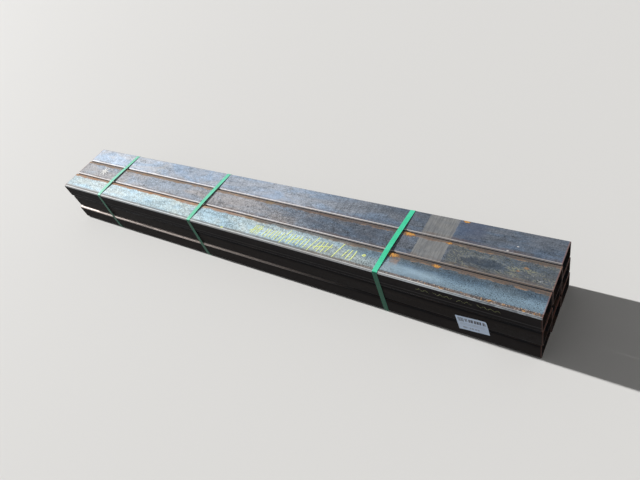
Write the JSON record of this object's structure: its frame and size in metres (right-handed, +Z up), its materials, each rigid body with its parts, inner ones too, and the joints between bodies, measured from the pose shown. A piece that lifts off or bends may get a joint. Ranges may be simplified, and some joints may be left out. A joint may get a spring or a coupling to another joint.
{
  "type": "bundle of rectangular steel tubes",
  "caption": "Strapped bundle of straight rectangular hollow steel tubes, stacked flat in rows and columns and bound by flat plastic straps for storage and transport.",
  "frame": {"origin": "middle of the bundle's box, on the floor it lies on", "axes": "+Z up, +X along the tubes towards the labelled end, -Y towards the front with the label"},
  "size_m": [2.443, 0.3194, 0.2351],
  "materials": {
    "mill_steel": "hot-rolled blue-grey mill scale with brown rust along the seams, satin",
    "strap_plastic": "green embossed polyester strap, semi-gloss",
    "label_paper": "white coated paper label with plain grey print lines"
  },
  "bodies": {
    "root": {"tube_bottom_front": "mill_steel", "tube_bottom_middle": "mill_steel", "tube_bottom_back": "mill_steel", "tube_centre_front": "mill_steel", "tube_centre_middle": "mill_steel", "tube_centre_back": "mill_steel", "tube_top_front": "mill_steel", "tube_top_middle": "mill_steel", "tube_top_back": "mill_steel", "strap_left": "strap_plastic", "strap_middle": "strap_plastic", "strap_right": "strap_plastic", "label": "label_paper"}
  },
  "joints": []
}
